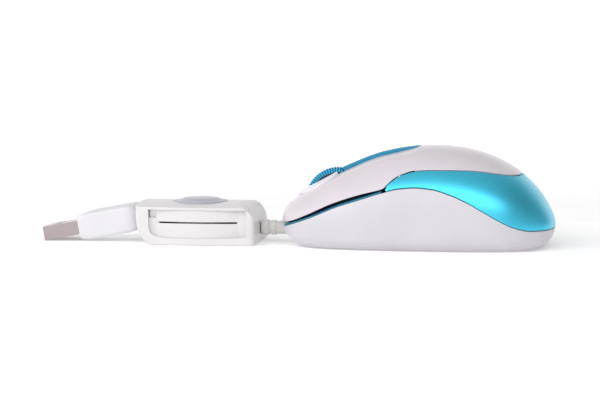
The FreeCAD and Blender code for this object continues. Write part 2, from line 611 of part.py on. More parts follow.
spring_turns = ribbon(1.6, 0.9, 14, 0.3, 0, 5.6)
coil = feature("clock_spring", spring_turns)
place(coil, V(reel_x, 0, 3.2))
spool = turned("spool", [
    ("hub_radius - hub_wall", "spool_bottom"), ("spool_radius", "spool_bottom"),
    ("spool_radius", "spool_bottom + flange"), ("hub_radius", "spool_bottom + flange"),
    ("hub_radius", "middle_level"), ("middle_flange_radius", "middle_level"),
    ("middle_flange_radius", "middle_level + middle_thickness"),
    ("hub_radius", "middle_level + middle_thickness"), ("hub_radius", "spool_top - 0.2"),
    ("spool_radius", "spool_top - 0.2"), ("spool_radius", "spool_top"),
    ("pin_radius + 0.07", "spool_top"), ("pin_radius + 0.07", "spool_top - 1.6"),
    ("hub_radius - hub_wall", "spool_top - 1.6")])
place(spool, V(reel_x, 0, 0))
HALF_TURNS = 10
for name, level, start in (("lower_winding", 4.8, 47.1), ("upper_winding", 9.1, 223.6)):
    coil = ribbon(dim("hub_radius") + 0.02, dim("winding_pitch"), HALF_TURNS, dim("cable_thickness"),
                  0, dim("cable_z_width"))
    pack = feature(name, coil)
    place(pack, V(reel_x, 0, level - dim("cable_z_width") / 2), Z_AXIS, start)


for name, shape in lead_shapes(0.0).items():
    feature(name, shape)


# --- plug --------------------------------------------------------------------------------
# The plug is made along X with its joint face at zero and its tip at minus X, then pitched.
plug_at = FreeCAD.Placement(V(dim("plug_front"), 0, dim("plug_level")),
                            FreeCAD.Rotation(Y_AXIS, -dim("plug_pitch")))


def pitched(obj):
    obj.Placement = plug_at.multiply(obj.Placement)
    return obj


def slab_shape(x_low, x_high, width, height):
    return box(x_low, x_high, -width / 2, width / 2, -height / 2, height / 2)


shell_l, shell_w, shell_h = dim("shell_length"), dim("shell_width"), dim("shell_height")
metal = dim("shell_metal")
tube = slab_shape(-shell_l, dim("shell_embed"), shell_w, shell_h)
tube = tube.cut(slab_shape(-shell_l - 1, dim("shell_embed") + 1, shell_w - 2 * metal, shell_h - 2 * metal))
windows = [box(-8.6, -6.1, y - 1.15, y + 1.15, -4, 4) for y in (-2.9, 2.9)]
pitched(feature("usb_shell", tube.cut(Part.Compound(windows))))
inside_w, inside_h = shell_w - 2 * metal - 0.06, shell_h - 2 * metal - 0.06
tongue = box(-shell_l + 0.8, -0.5, -inside_w / 2, inside_w / 2, -inside_h / 2, -inside_h / 2 + 1.75)
back = slab_shape(-0.5, dim("shell_embed") - 0.5, inside_w, inside_h)
pitched(feature("usb_tongue", tongue.fuse(back)))
contact_top = -inside_h / 2 + 1.76
contacts = [box(-shell_l + 2.0, -0.6, y - 0.55, y + 0.55, contact_top, contact_top + 0.18)
            for y in (-3.5, -1.25, 1.25, 3.5)]
bar = box(-0.9, -0.6, -4.05, 4.05, contact_top, contact_top + 0.18)
pitched(feature("usb_contacts", fused(contacts + [bar])))
GRIP_SIDE = [(0, -3.5), (0.4, -3.9), (3.4, -4.4), (16.6, -4.4), (18.6, -4.1), (20.0, -3.0), (20.3, -2.0),
             (20.3, 2.0), (20.0, 3.0), (18.6, 4.1), (16.6, 4.4), (3.4, 4.4), (0.4, 3.9), (0, 3.5)]
GRIP_TOP = [(0, -7.4), (3.0, -7.8), (16.0, -7.8), (18.6, -7.2), (20.3, -5.4), (20.3, 5.4), (18.6, 7.2),
            (16.0, 7.8), (3.0, 7.8), (0, 7.4)]


def ring_face(spots):
    return Part.Face(Part.makePolygon(spots + spots[:1]))


side_block = ring_face([V(x, -12, z) for x, z in GRIP_SIDE]).extrude(V(0, 24, 0))
top_block = ring_face([V(x, y, -12) for x, y in GRIP_TOP]).extrude(V(0, 0, 24))
grip = side_block.common(top_block)
long_edges = [e for e in grip.Edges if e.BoundBox.XLength > 8]
grip = grip.makeFillet(1.1, long_edges)
cavity = slab_shape(-1, dim("shell_embed") + 0.02, shell_w + 0.02, shell_h + 0.02)
cable_hole = box(10, 21, -0.42, 0.42, -0.6, 3.2)
pitched(feature("usb_overmould", grip.cut(Part.Compound([cavity, cable_hole]))))
plug_run = box(10.2, 20.15, -0.36, 0.36, -0.55, 2.95)
pitched(feature("plug_cable", plug_run))

# --- checks and export -------------------------------------------------------------------
doc.recompute()
for obj in doc.Objects:
    if "Invalid" in obj.State or "Error" in obj.State:
        raise RuntimeError(f"{obj.Label} did not recompute: {obj.State}")
os.makedirs("parts", exist_ok=True)
for obj in NODES:
    if obj.Shape.isNull() or not obj.Shape.isValid() or len(obj.Shape.Solids) != 1:
        print("PROBLEM", obj.Label, obj.Shape.isNull(), [round(s.Volume, 2) for s in obj.Shape.Solids])
    obj.Shape.exportStep(f"parts/{obj.Label}.step")
print("sub-parts", len(NODES))
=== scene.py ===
"""The looks of a compact mouse with a retractable-cable reel and a USB-A plug.

Lengths in the tables are millimetres in the CAD's frame; MM turns them into metres.
"""
import bmesh
import bpy
import math
import numpy as np
from mathutils import Matrix, Vector


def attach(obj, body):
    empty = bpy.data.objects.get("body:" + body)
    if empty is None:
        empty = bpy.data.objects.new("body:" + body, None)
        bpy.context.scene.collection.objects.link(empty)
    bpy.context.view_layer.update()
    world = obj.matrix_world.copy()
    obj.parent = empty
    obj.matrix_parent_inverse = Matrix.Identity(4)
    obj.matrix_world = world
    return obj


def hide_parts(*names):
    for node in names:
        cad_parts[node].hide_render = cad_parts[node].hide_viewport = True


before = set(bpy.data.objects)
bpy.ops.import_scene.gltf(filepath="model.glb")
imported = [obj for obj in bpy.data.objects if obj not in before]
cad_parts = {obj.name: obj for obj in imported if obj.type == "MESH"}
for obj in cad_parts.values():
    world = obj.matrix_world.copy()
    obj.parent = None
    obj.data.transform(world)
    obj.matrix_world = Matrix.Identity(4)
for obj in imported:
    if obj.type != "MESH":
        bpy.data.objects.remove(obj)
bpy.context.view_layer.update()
MM = 0.001
HALF_PI = math.pi / 2


# --- camera ------------------------------------------------------------------------------
def make_camera():
    """A long lens on the -Y side, 5 degrees up and turned 8 degrees towards the tail."""
    azimuth, elevation, distance = math.radians(8.0), math.radians(5.0), 750 * MM
    target = Vector((-38.24, 0, 13.7)) * MM
    back = Vector((math.sin(azimuth) * math.cos(elevation), -math.cos(azimuth) * math.cos(elevation),
                   math.sin(elevation)))
    data = bpy.data.cameras.new("camera")
    data.lens = 140
    data.sensor_width = 36
    data.clip_start = 0.01
    data.clip_end = 20
    camera = bpy.data.objects.new("camera", data)
    camera.rotation_mode = "QUATERNION"
    camera.location = target + back * distance
    camera.rotation_quaternion = (-back).to_track_quat("-Z", "Y")
    bpy.context.scene.collection.objects.link(camera)
    bpy.context.scene.camera = camera


make_camera()


# --- hull, the same form as the CAD's ----------------------------------------------------
HALF_LENGTH, WAIST, BASE_LEVEL = 43.5, 6.9, 0.6
STEP = math.pi / 12
HALF_WIDTHS = (0, 11.4, 17.2, 21.2, 23.6, 24.9, 25.4, 25.6, 24.9, 22.8, 18.8, 12.4, 0)
CROWN_RISES = (0, 5.1, 9.1, 13.4, 18.2, 22.6, 24.7, 24.6, 22.3, 17.8, 11.5, 4.8, 0)
KEEL_DEPTHS = (0, 2.4, 5.9, 7.4, 7.7, 7.8, 7.8, 7.8, 7.8, 7.7, 7.0, 4.3, 0)
UPPER_POWER, LOWER_POWER = 2.3, 4.0


def station(row, turn):
    """A row's value at turns from the nose, by a cubic through the four nearest stations."""
    turn = np.asarray(turn, float)
    full = np.array([-row[2], -row[1], *row, -row[11], -row[10]], float)
    place = turn / STEP
    first = np.clip(np.floor(place).astype(int), 0, 11)
    share = place - first
    a, b, c, d = (full[first + k] for k in (1, 2, 3, 4))
    bend = (2 * a - 5 * b + 4 * c - d) * share ** 2 + (3 * b - a - 3 * c + d) * share ** 3
    return b + 0.5 * ((c - a) * share + bend)


def turn_at(x):
    """The turn from the nose at a place along X."""
    return np.arccos(np.clip(-np.asarray(x, float) / HALF_LENGTH, -1, 1))


def hull_point(turn, angle, inset=0.0):
    """A point of the hull at a turn from the nose and an angle round the section."""
    width = np.maximum(station(HALF_WIDTHS, turn) - inset, 0.01)
    rise = np.maximum(station(CROWN_RISES, turn) - inset, 0.01)
    depth = np.maximum(station(KEEL_DEPTHS, turn) - inset, 0.01)
    cosine, sine = np.cos(angle), np.sin(angle)
    power = np.where(sine >= 0, UPPER_POWER, LOWER_POWER)
    reach = np.where(sine >= 0, rise, depth)
    radius = (np.abs(cosine) ** power + np.abs(sine) ** power) ** (-1 / power)
    x = -(HALF_LENGTH - inset) * np.cos(turn) + 0 * radius
    return np.stack([x, width * radius * cosine, WAIST + reach * radius * sine], axis=-1)


def hull_normal(turn, angle):
    """Outward unit normals, from differences of the hull's own form."""
    small = 1e-3
    t0, t1 = np.clip(turn - small, 1e-4, None), np.clip(turn + small, None, math.pi - 1e-4)
    along = hull_point(t1, angle) - hull_point(t0, angle)
    around = hull_point(turn, angle + small) - hull_point(turn, angle - small)
    normal = np.cross(along, around)
    length = np.linalg.norm(normal, axis=-1, keepdims=True)
    normal = normal / np.maximum(length, 1e-12)
    outward = hull_point(turn, angle) - np.array([0.0, 0.0, 12.0])
    flip = np.sign(np.sum(normal * outward, axis=-1, keepdims=True))
    return normal * np.where(flip == 0, 1, flip)


def section_angle(turn, level):
    """The angle round the section where the hull stands at a level, on the +Y side."""
    rise, depth = station(CROWN_RISES, turn), station(KEEL_DEPTHS, turn)
    up = np.clip((level - WAIST) / np.maximum(rise, 1e-6), 0, 1)
    down = np.clip((WAIST - level) / np.maximum(depth, 1e-6), 0, 1)
    high = np.arctan2(up, np.maximum(1 - up ** UPPER_POWER, 0) ** (1 / UPPER_POWER))
    low = -np.arctan2(down, np.maximum(1 - down ** LOWER_POWER, 0) ** (1 / LOWER_POWER))
    return np.where(level >= WAIST, high, low)


FRONT_SEAM_LOW = [(-44.5, 5.6), (-39.7, 7.2), (-32.2, 10.0), (-23.7, 13.6), (-15.5, 16.3), (-9.6, 18.2)]
FRONT_SEAM_TOP = [(-44.5, 6.9), (-38.7, 8.7), (-34.2, 10.7), (-25.4, 14.8), (-17.1, 17.5), (-9.2, 19.2)]
SIDE_SEAM_LOW = [(-9.6, 18.2), (-4.4, 19.5), (0.6, 19.9), (5.7, 19.5), (12.0, 17.7), (16.8, 15.6),
                 (21.5, 13.0), (26.2, 10.3), (29.9, 8.4), (33.5, 7.1), (37.0, 6.5), (44.5, 6.4)]
SIDE_SEAM_TOP = [(-9.2, 19.2), (-7.8, 20.7), (-5.5, 22.6), (-3.0, 23.9), (0.2, 24.8), (5.5, 25.2),
                 (11.7, 25.2), (16.6, 25.1), (21.2, 24.7), (25.8, 24.0), (30.0, 23.3), (36.0, 22.8),
                 (44.5, 22.5)]


def seam(points, x):
    """Height of a seam at x: a cubic through its points, with slopes that never overshoot."""
    px, pz = (np.array(v, float) for v in zip(*points))
    step = np.diff(px)
    rate = np.diff(pz) / step
    slope = np.empty(len(px))
    before, after = rate[:-1], rate[1:]
    slope[1:-1] = np.where(before * after > 0, 2 * before * after / (before + after + 1e-12), 0)
    slope[0], slope[-1] = rate[0], rate[-1]
    x = np.clip(np.asarray(x, float), px[0], px[-1])
    i = np.clip(np.searchsorted(px, x) - 1, 0, len(px) - 2)
    s = (x - px[i]) / step[i]
    return ((2 * s ** 3 - 3 * s ** 2 + 1) * pz[i] + (s ** 3 - 2 * s ** 2 + s) * step[i] * slope[i]
            + (3 * s ** 2 - 2 * s ** 3) * pz[i + 1] + (s ** 3 - s ** 2) * step[i] * slope[i + 1])


SEAM_LOW = FRONT_SEAM_LOW[:-1] + SIDE_SEAM_LOW
CENTRE_X = 4.0


# --- mesh helpers ------------------------------------------------------------------------
def outside(points):
    """Negative inside the hull, positive outside it."""
    x, y, z = points[..., 0], points[..., 1], points[..., 2]
    turn = turn_at(x)
    width = np.maximum(station(HALF_WIDTHS, turn), 1e-3)
    above = z >= WAIST
    reach = np.where(above, station(CROWN_RISES, turn), station(KEEL_DEPTHS, turn))
    power = np.where(above, UPPER_POWER, LOWER_POWER)
    value = (np.abs(y) / width) ** power + (np.abs(z - WAIST) / np.maximum(reach, 1e-3)) ** power - 1
    return np.where(np.abs(x) >= HALF_LENGTH, 1.0, value)


def ring_point(theta, z):
    """The hull's point at a height, in a direction round the upright line through its middle."""
    low, high = np.zeros(np.broadcast(theta, z).shape), np.full(np.broadcast(theta, z).shape, 60.0)
    for _ in range(40):
        middle = (low + high) / 2
        spot = np.stack([CENTRE_X + middle * np.cos(theta), middle * np.sin(theta), z + 0 * middle], axis=-1)
        out = outside(spot) > 0
        low, high = np.where(out, low, middle), np.where(out, middle, high)
    return spot


def field_normal(points):
    """Outward unit normals of the hull at points on it, from the inside-outside field."""
    small = 0.02
    steps = [np.array(v) * small for v in ((1.0, 0, 0), (0, 1.0, 0), (0, 0, 1.0))]
    slope = np.stack([outside(points + s) - outside(points - s) for s in steps], axis=-1)
    return slope / np.maximum(np.linalg.norm(slope, axis=-1, keepdims=True), 1e-12)


def seam_height(points, theta, shift):
    """For each direction, the height where the hull crosses a seam, moved by a shift."""
    low, high = np.full(theta.shape, 0.7), np.full(theta.shape, 31.0)
    for _ in range(30):
        middle = (low + high) / 2
        above = middle > seam(points, ring_point(theta, middle)[..., 0]) + shift
        low, high = np.where(above, low, middle), np.where(above, middle, high)
    return middle


def add_object(name, points, faces, normals=None, smooth=True):
    """A mesh object from points in millimetres, with given vertex normals if there are any."""
    mesh = bpy.data.meshes.new(name)
    mesh.from_pydata((np.asarray(points, float) * MM).tolist(), [], [list(f) for f in faces])
    mesh.polygons.foreach_set("use_smooth", [smooth] * len(mesh.polygons))
    mesh.update()
    if normals is not None:
        mesh.normals_split_custom_set_from_vertices(np.asarray(normals, float).tolist())
    obj = bpy.data.objects.new(name, mesh)
    bpy.context.scene.collection.objects.link(obj)
    return obj


def unit(v):
    return v / np.maximum(np.linalg.norm(v, axis=-1, keepdims=True), 1e-12)


def patch(name, points, normals, lips=("start", "end", "low", "high"), radius=0.22, depth=1.5, closed=False,
          level=()):
    """A grid of surface points whose chosen sides turn inwards with a rounded lip."""
    m, n = points.shape[:2]
    verts, norms = [points.reshape(-1, 3)], [normals.reshape(-1, 3)]
    faces = []

    def grid_faces(start, rows, columns, wrap):
        for i in range(rows if wrap else rows - 1):
            k = (i + 1) % rows
            for j in range(columns - 1):
                faces.append((start + i * columns + j, start + k * columns + j,
                              start + k * columns + j + 1, start + i * columns + j + 1))

    grid_faces(0, m, n, closed)
    count = m * n
    sides = {"start": (points[0], normals[0], points[1]), "end": (points[-1], normals[-1], points[-2]),
             "low": (points[:, 0], normals[:, 0], points[:, 1]),
             "high": (points[:, -1], normals[:, -1], points[:, -2])}
    for side in lips:
        edge, normal, inner = sides[side]
        wrap = closed and side in ("low", "high")
        if wrap:
            along = np.roll(edge, -1, axis=0) - np.roll(edge, 1, axis=0)
        else:
            along = np.gradient(edge, axis=0)
        if side in level:
            normal = unit(normal * np.array([1, 1, 0.02]))
        outward = unit(np.cross(along, normal))
        outward *= np.where(np.sum(outward * (edge - inner), axis=-1, keepdims=True) < 0, -1, 1)
        rows, row_normals = [edge], [normal]
        for step in range(1, 6):
            a = HALF_PI * step / 5
            rows.append(edge + outward * radius * math.sin(a) - normal * radius * (1 - math.cos(a)))
            row_normals.append(normal * math.cos(a) + outward * math.sin(a))
        rows.append(rows[-1] - normal * (depth - radius))
        row_normals.append(outward)
        lip = np.stack(rows, axis=1)
        verts.append(lip.reshape(-1, 3))
        norms.append(np.stack(row_normals, axis=1).reshape(-1, 3))
        grid_faces(count, lip.shape[0], lip.shape[1], wrap)
        count += lip.shape[0] * lip.shape[1]
    verts, norms = np.concatenate(verts), np.concatenate(norms)
    faces = np.array(faces)
    corner = verts[faces]
    face_normal = np.cross(corner[:, 2] - corner[:, 0], corner[:, 3] - corner[:, 1])
    wrong = np.sum(face_normal * norms[faces].sum(axis=1), axis=1) < 0
    faces[wrong] = faces[wrong][:, ::-1]
    return add_object(name, verts, faces, norms)


# --- upper and lower shells --------------------------------------------------------------
def base_shell():
    """White lower shell: a wall round the whole mouse and a flat floor with the sensor's window."""
    theta = np.linspace(0, 2 * math.pi, 420, endpoint=False)
    top = seam_height(SEAM_LOW, theta, -0.32)
    share = np.linspace(0, 1, 40) ** 1.6
    foot = BASE_LEVEL + 0.45
    z = foot + (top[:, None] - foot) * share[None, :]
    wall = ring_point(theta[:, None], z)
    normal = field_normal(wall)
    rim, rim_normal = wall[:, 0], normal[:, 0]
    rows, row_normals = [], []
    side = unit(rim_normal * np.array([1, 1, 0]))
    for a in np.linspace(0, 1, 6):
        turned = a * HALF_PI
        rows.append(rim - side * 0.45 * (1 - math.cos(turned)) - np.array([0, 0, 0.45 * math.sin(turned)]))
        row_normals.append(unit(side * math.cos(turned) + np.array([0, 0, -math.sin(turned)])))
    window = np.stack([0.5 + 5.2 * np.cos(theta), 5.2 * np.sin(theta), 0 * theta + BASE_LEVEL], axis=-1)
    for s in (0.15, 0.4, 0.7, 1.0):
        rows.append(rows[5] * (1 - s) + window * s)
        row_normals.append(np.broadcast_to([0.0, 0, -1], rim.shape))
    floor, floor_normal = np.stack(rows[::-1], axis=1), np.stack(row_normals[::-1], axis=1)
    grid = np.concatenate([floor[:, :-1], wall], axis=1)
    grid_normal = np.concatenate([floor_normal[:, :-1], normal], axis=1)
    return patch("lower_shell", grid, grid_normal, lips=("low", "high"), closed=True)


def side_band():
    """Blue panel: a band along both sides and round the tail, between the two side seams."""
    reach = math.radians(118.6)
    theta = -reach * np.cos(np.linspace(0, math.pi, 420))
    low = seam_height(SIDE_SEAM_LOW, theta, 0.32)
    high = seam_height(SIDE_SEAM_TOP, theta, -0.30)
    share = np.linspace(0, 1, 46)
    z = low[:, None] + np.maximum(high - low, 0.05)[:, None] * share[None, :]
    points = ring_point(theta[:, None], z)
    return patch("side_band", points, field_normal(points))


def column_turns(x_low, x_high, count):
    """Turns for columns between two x values, closer together towards both ends."""
    a, b = turn_at(x_low), turn_at(x_high)
    return a + (b - a) * (1 - np.cos(np.linspace(0, math.pi, count))) / 2


def side_angles(turn, y):
    """The angle round the section where the upper hull is a distance off the middle."""
    q = np.clip(y / np.maximum(station(HALF_WIDTHS, turn), 1e-3), 0, 1)
    return np.arctan2((1 - q ** UPPER_POWER) ** (1 / UPPER_POWER), q)


def last_x(points, shift, start, stop):
    """Where a seam passes over the crown, between two x values."""
    inside = start
    for x in np.linspace(start, stop, 4000):
        crown = WAIST + float(station(CROWN_RISES, turn_at(x)))
        if crown < float(seam(points, x)) + shift + 0.03:
            break
        inside = x
    return float(inside)


def gap_wall(name, inset, drop, lift, end, shelf):
    """A wall behind the front gap: from below the lower seam up, with a shelf turned inwards."""
    turn = column_turns(-43.0, end, 160)
    x = -HALF_LENGTH * np.cos(turn)
    foot = seam(FRONT_SEAM_LOW, x)
    lift = lift * (1 - 0.45 * np.clip((-31 - x) / 5, 0, 1))
    rows = []
    for side in (-1, 1):
        levels = [foot - drop, foot, foot + lift, foot + lift]
        insets = [inset, inset, inset, inset + shelf]
        line = []
        for level, depth in zip(levels, insets):
            angle = section_angle(turn, level)
            spot = hull_point(turn, angle, depth)
            spot[:, 2] = level
            line.append(spot * np.array([1, side, 1]))
        line = np.stack(line, axis=1)
        rows.append(line if side > 0 else line[::-1])
    points = np.concatenate([rows[0], rows[1]], axis=0)
    m, n = points.shape[:2]
    obj = add_object(name, points.reshape(-1, 3), sweep_grid(points, closed_rows=False))
    return obj


EDGE_X = 0.4
STRIP_GAP_Y = 3.0


def rear_cover():
    """White cover behind the flexure line; its rear edge crosses the middle above the tail."""
    end = last_x(SIDE_SEAM_TOP, 0.3, 20, 40)
    turn = column_turns(EDGE_X, end, 150)
    x = -HALF_LENGTH * np.cos(turn)
    angle = section_angle(turn, seam(SIDE_SEAM_TOP, x) + 0.30)
    spread = np.linspace(0, 1, 90)
    angles = angle[:, None] + (math.pi - 2 * angle[:, None]) * spread[None, :]
    points = hull_point(turn[:, None], angles)
    return patch("rear_cover", points, hull_normal(turn[:, None], angles), lips=("end", "low", "high"))


# The slit between the buttons, half its width, and the collar that it runs into: where the
# collar begins and ends, and how far its belly swells past the slit.
SLIT_HALF = 0.35
COLLAR_FRONT, COLLAR_BACK, COLLAR_BELLY = -37.8, -25.4, 5.6
DIP_PLACES = (-42.0, -38.0, -33.0, -28.0, -24.0, -19.0, -14.0, -9.0, -6.0, -3.6, -1.0, 0.5)
DIP_DEPTHS = (0.0, 0.15, 0.45, 0.62, 0.7, 0.78, 0.9, 1.0, 0.95, 0.75, 0.45, 0.1)
BUTTON_LIP_DEPTH = 0.5


def inner_edge(x):
    """How far off the middle a button's inner edge lies: slit, then collar, then strip."""
    u = np.clip((x + 38.2) / 12.8, 0, 1)
    swell = 4.6 * np.clip(u / 0.08, 0, 1) ** 0.6 + COLLAR_BELLY * np.sin(math.pi * u) ** 0.8
    bulge = np.where((u > 0) & (u < 1), swell, SLIT_HALF)
    wheel_side = STRIP_GAP_Y + 0.45 * np.clip((-18.5 - x) / 1.5, 0, 1)
    return np.maximum(bulge, np.where(x > -30, wheel_side, SLIT_HALF))


def deck_dip(points):
    """Lowers the buttons beside the wheel and the strip, so that these stand proud of them."""
    x, y = points[..., 0], np.abs(points[..., 1])
    depth = np.interp(x, DIP_PLACES, DIP_DEPTHS)
    share = np.clip((y - 4.0) / 11.0, 0, 1)
    dipped = points.copy()
    dipped[..., 2] -= depth * (1 - share * share * (3 - 2 * share))
    return dipped


def grid_normal(points, like):
    """Unit normals of a grid of points, on the same side as other normals."""
    normal = unit(np.cross(np.gradient(points, axis=0), np.gradient(points, axis=1)))
    return normal * np.where(np.sum(normal * like, axis=-1, keepdims=True) < 0, -1, 1)


def button(name, side):
    """White button from the nose's lip back to the flexure line."""
    nose = last_x(FRONT_SEAM_TOP, 0.85, -40, -43.5)
    turn = np.concatenate([column_turns(nose, EDGE_X, 170), turn_at(np.linspace(-38.1, -36.2, 26))])
    turn = np.unique(np.round(turn, 6))
    x = -HALF_LENGTH * np.cos(turn)
    front = seam(FRONT_SEAM_TOP, x)
    pinch = 0.42 * np.sin(math.pi * np.clip((x + 41) / 31, 0, 1)) ** 0.7
    at_nose = 0.5 * np.clip((-41.0 - x) / 1.8, 0, 1)
    at_panel = 0.14 * np.clip((x + 10.5) / 1.5, 0, 1) * np.clip((-3 - x) / 3, 0, 1)
    clear = at_nose + at_panel
    level = np.where(x < -9.2, front, seam(SIDE_SEAM_TOP, x)) + 0.30 - pinch + clear
    low = section_angle(turn, level)
    high = np.maximum(side_angles(turn, inner_edge(x)), low + 0.004)
    angles = low[:, None] + (high - low)[:, None] * np.linspace(0, 1, 70)[None, :]
    angles = angles if side > 0 else math.pi - angles
    like = hull_normal(turn[:, None], angles)
    points = deck_dip(hull_point(turn[:, None], angles))
    return patch(name, points, grid_normal(points, like), lips=("start", "low", "high"),
                 depth=BUTTON_LIP_DEPTH, level=("low",))


def centre_strip():
    """Blue strip along the crown, proud of the hull at its front and nearly level at its rear."""
    turn = column_turns(-23.9, 0.5, 120)
    x = -HALF_LENGTH * np.cos(turn)
    across = np.linspace(-1, 1, 31)
    half = 2.72 - 0.25 * np.clip((x + 2) / 2.7, 0, 1) ** 3
    y = half[:, None] * across[None, :]
    angles = side_angles(turn[:, None], np.abs(y))
    angles = np.where(y >= 0, angles, math.pi - angles)
    proud = np.interp(x, [-24.0, -19.0, -14.0, -9.0, -3.6, 0.5], [0.66, 0.48, 0.28, 0.12, 0.08, 0.06])
    normal = hull_normal(turn[:, None], angles)
    points = hull_point(turn[:, None], angles) + normal * proud[:, None, None]
    return patch("crown_strip", points, normal, radius=0.3, depth=1.7)


def sweep_grid(points, closed_rows=True, closed_columns=False):
    """Faces of a grid of points given row by row."""
    m, n = points.shape[:2]
    faces = []
    for i in range(m if closed_rows else m - 1):
        for j in range(n if closed_columns else n - 1):
            k, l = (i + 1) % m, (j + 1) % n
            faces.append((i * n + j, k * n + j, k * n + l, i * n + l))
    return faces


def loft(name, rows, closed_rows=True, closed_columns=False, caps=False, sharp=None):
    """A mesh through rows of points. A cap closes the first and last column."""
    points = np.asarray(rows, float)
    faces = sweep_grid(points, closed_rows, closed_columns)
    m, n = points.shape[:2]
    if caps:
        faces.append([i * n for i in range(m)])
        faces.append([i * n + n - 1 for i in reversed(range(m))])
    obj = add_object(name, points.reshape(-1, 3), faces)
    tidy(obj, sharp)
    return obj


def tidy(obj, sharp=None):
    """Makes the faces point outwards and, past an angle in degrees, shades the edges sharp."""
    shape = bmesh.new()
    shape.from_mesh(obj.data)
    bmesh.ops.remove_doubles(shape, verts=shape.verts, dist=1e-6)
    bmesh.ops.recalc_face_normals(shape, faces=shape.faces)
    shape.to_mesh(obj.data)
    shape.free()
    if sharp:
        obj.data.set_sharp_from_angle(angle=math.radians(sharp))


def over_hull(x, y, height):
    """Points above the upper hull at places in plan, raised along its normals."""
    turn = turn_at(x)
    angle = side_angles(turn, np.abs(y))
    angle = np.where(y >= 0, angle, math.pi - angle)
    return hull_point(turn, angle) + hull_normal(turn, angle) * np.asarray(height)[..., None]


def collar():
    """White rim round the wheel: a crescent on each side, joined in front, open to the strip behind."""
    path = np.linspace(-1, 1, 161)
    x = COLLAR_FRONT + (COLLAR_BACK - COLLAR_FRONT) * np.abs(path) ** 1.6
    belly = np.sin(math.pi * np.clip(np.abs(path) ** 1.6, 0, 1)) ** 0.8
    inner = np.sign(path) * 3.55 * np.clip(np.abs(path) / 0.22, 0, 1) ** 0.6
    outer = inner + np.sign(path) * (SLIT_HALF + COLLAR_BELLY * belly)
    profile = [(0.0, -1.6), (0.0, -0.3), (0.01, -0.15), (0.06, 0.1), (0.16, 0.4), (0.34, 0.6),
               (0.55, 0.78), (0.75, 0.9), (0.9, 0.9), (0.97, 0.75), (1.0, 0.5), (1.0, -2.2)]
    rows = []
    for share, height in profile:
        y = outer + (inner - outer) * share
        forward = (0.9 * (1 - share)) * (1 - np.clip(np.abs(path) / 0.2, 0, 1))
        rows.append(deck_dip(over_hull(x - forward, y, height + 0 * x)))
    return loft("wheel_collar", np.stack(rows, axis=1), closed_rows=False, caps=False)


WHEEL_X, WHEEL_Z, WHEEL_R, WHEEL_RIBS = -25.6, 13.7, 10.9, 74


def wheel():
    """Rubber tyre: fine ribs across the rim and over both shoulders."""
    per_rib = 8
    count = WHEEL_RIBS * per_rib
    half = [(2.5, 8.2, 0.0), (2.6, 8.9, 0.5), (2.62, 9.6, 1.0), (2.5, 10.2, 1.0), (2.15, 10.62, 1.0),
            (1.5, 10.82, 1.0), (0.7, 10.89, 1.0)]
    profile = [(-y, r, d) for y, r, d in half] + [(0.0, WHEEL_R, 1.0)] + half[::-1]
    rows = []
    for k in range(count):
        phase = (k % per_rib) / per_rib
        groove = 0.5 * (0.5 - 0.5 * math.cos(2 * math.pi * phase)) ** 1.2
        angle = 2 * math.pi * k / count
        line = []
        for y, r, depth in profile:
            side = min(1.0, abs(y) / 2.6) ** 3
            radius = r - groove * depth * (1 - 0.6 * side)
            line.append((WHEEL_X + radius * math.cos(angle), y * (1 - 0.2 * groove * depth * side),
                         WHEEL_Z + radius * math.sin(angle)))
        rows.append(line)
    return loft("ribbed_tyre", rows)


PLUG_X, PLUG_Z, PLUG_PITCH = -109.5, 4.45, math.radians(10.5)


def pitched(local):
    """Points of the plug, from its own axis at zero to their place in the frame."""
    local = np.asarray(local, float)
    c, s = math.cos(PLUG_PITCH), math.sin(PLUG_PITCH)
    x, z = local[..., 0], local[..., 2]
    return np.stack([PLUG_X + x * c - z * s, local[..., 1], PLUG_Z + x * s + z * c], axis=-1)


def rounded_section(half_w, half_h, corner, count=64):
    """Points round a rectangle with rounded corners, and nothing sharper than its corner radius."""
    t = np.linspace(0, 2 * math.pi, count, endpoint=False) + 1e-4
    cy, cz = np.cos(t), np.sin(t)
    w, h = half_w - corner, half_h - corner
    return np.stack([np.sign(cy) * w + corner * cy, np.sign(cz) * h + corner * cz], axis=-1)


def plug_grip():
    """Moulded grip: waisted block with soft edges and faint slanted ribs on both sides."""
    ends = [(0.0, 6.5, 2.9), (0.0, 7.2, 3.35), (0.12, 7.4, 3.6), (0.5, 7.5, 3.8), (1.6, 7.6, 4.1),
            (3.2, 7.75, 4.3)]
    tail = [(17.6, 7.6, 4.25), (18.8, 7.0, 3.8), (19.7, 6.0, 3.0), (20.15, 5.2, 2.3), (20.3, 4.6, 1.9),
            (20.3, 3.6, 1.4)]
    middle = [(x, 7.78, 4.38) for x in np.linspace(3.8, 16.4, 90)]
    rows = []
    for x, w, h in ends + middle + tail:
        section = rounded_section(w, h, min(1.3, h * 0.6), 96)
        line = []
        for y, z in section:
            slant = (x - 0.45 * z - 5.5) / 2.3
            inside = 0 < slant < 4 and abs(z) < 2.6 and abs(y) > 6
            ridge = 0.16 * max(0.0, math.cos(2 * math.pi * (slant % 1 - 0.5))) if inside else 0.0
            line.append((x, y * (1 + ridge / 7.8), z))
        rows.append(line)
    points = pitched(np.array(rows).transpose(1, 0, 2))
    return loft("plug_grip", points, caps=True, sharp=50)


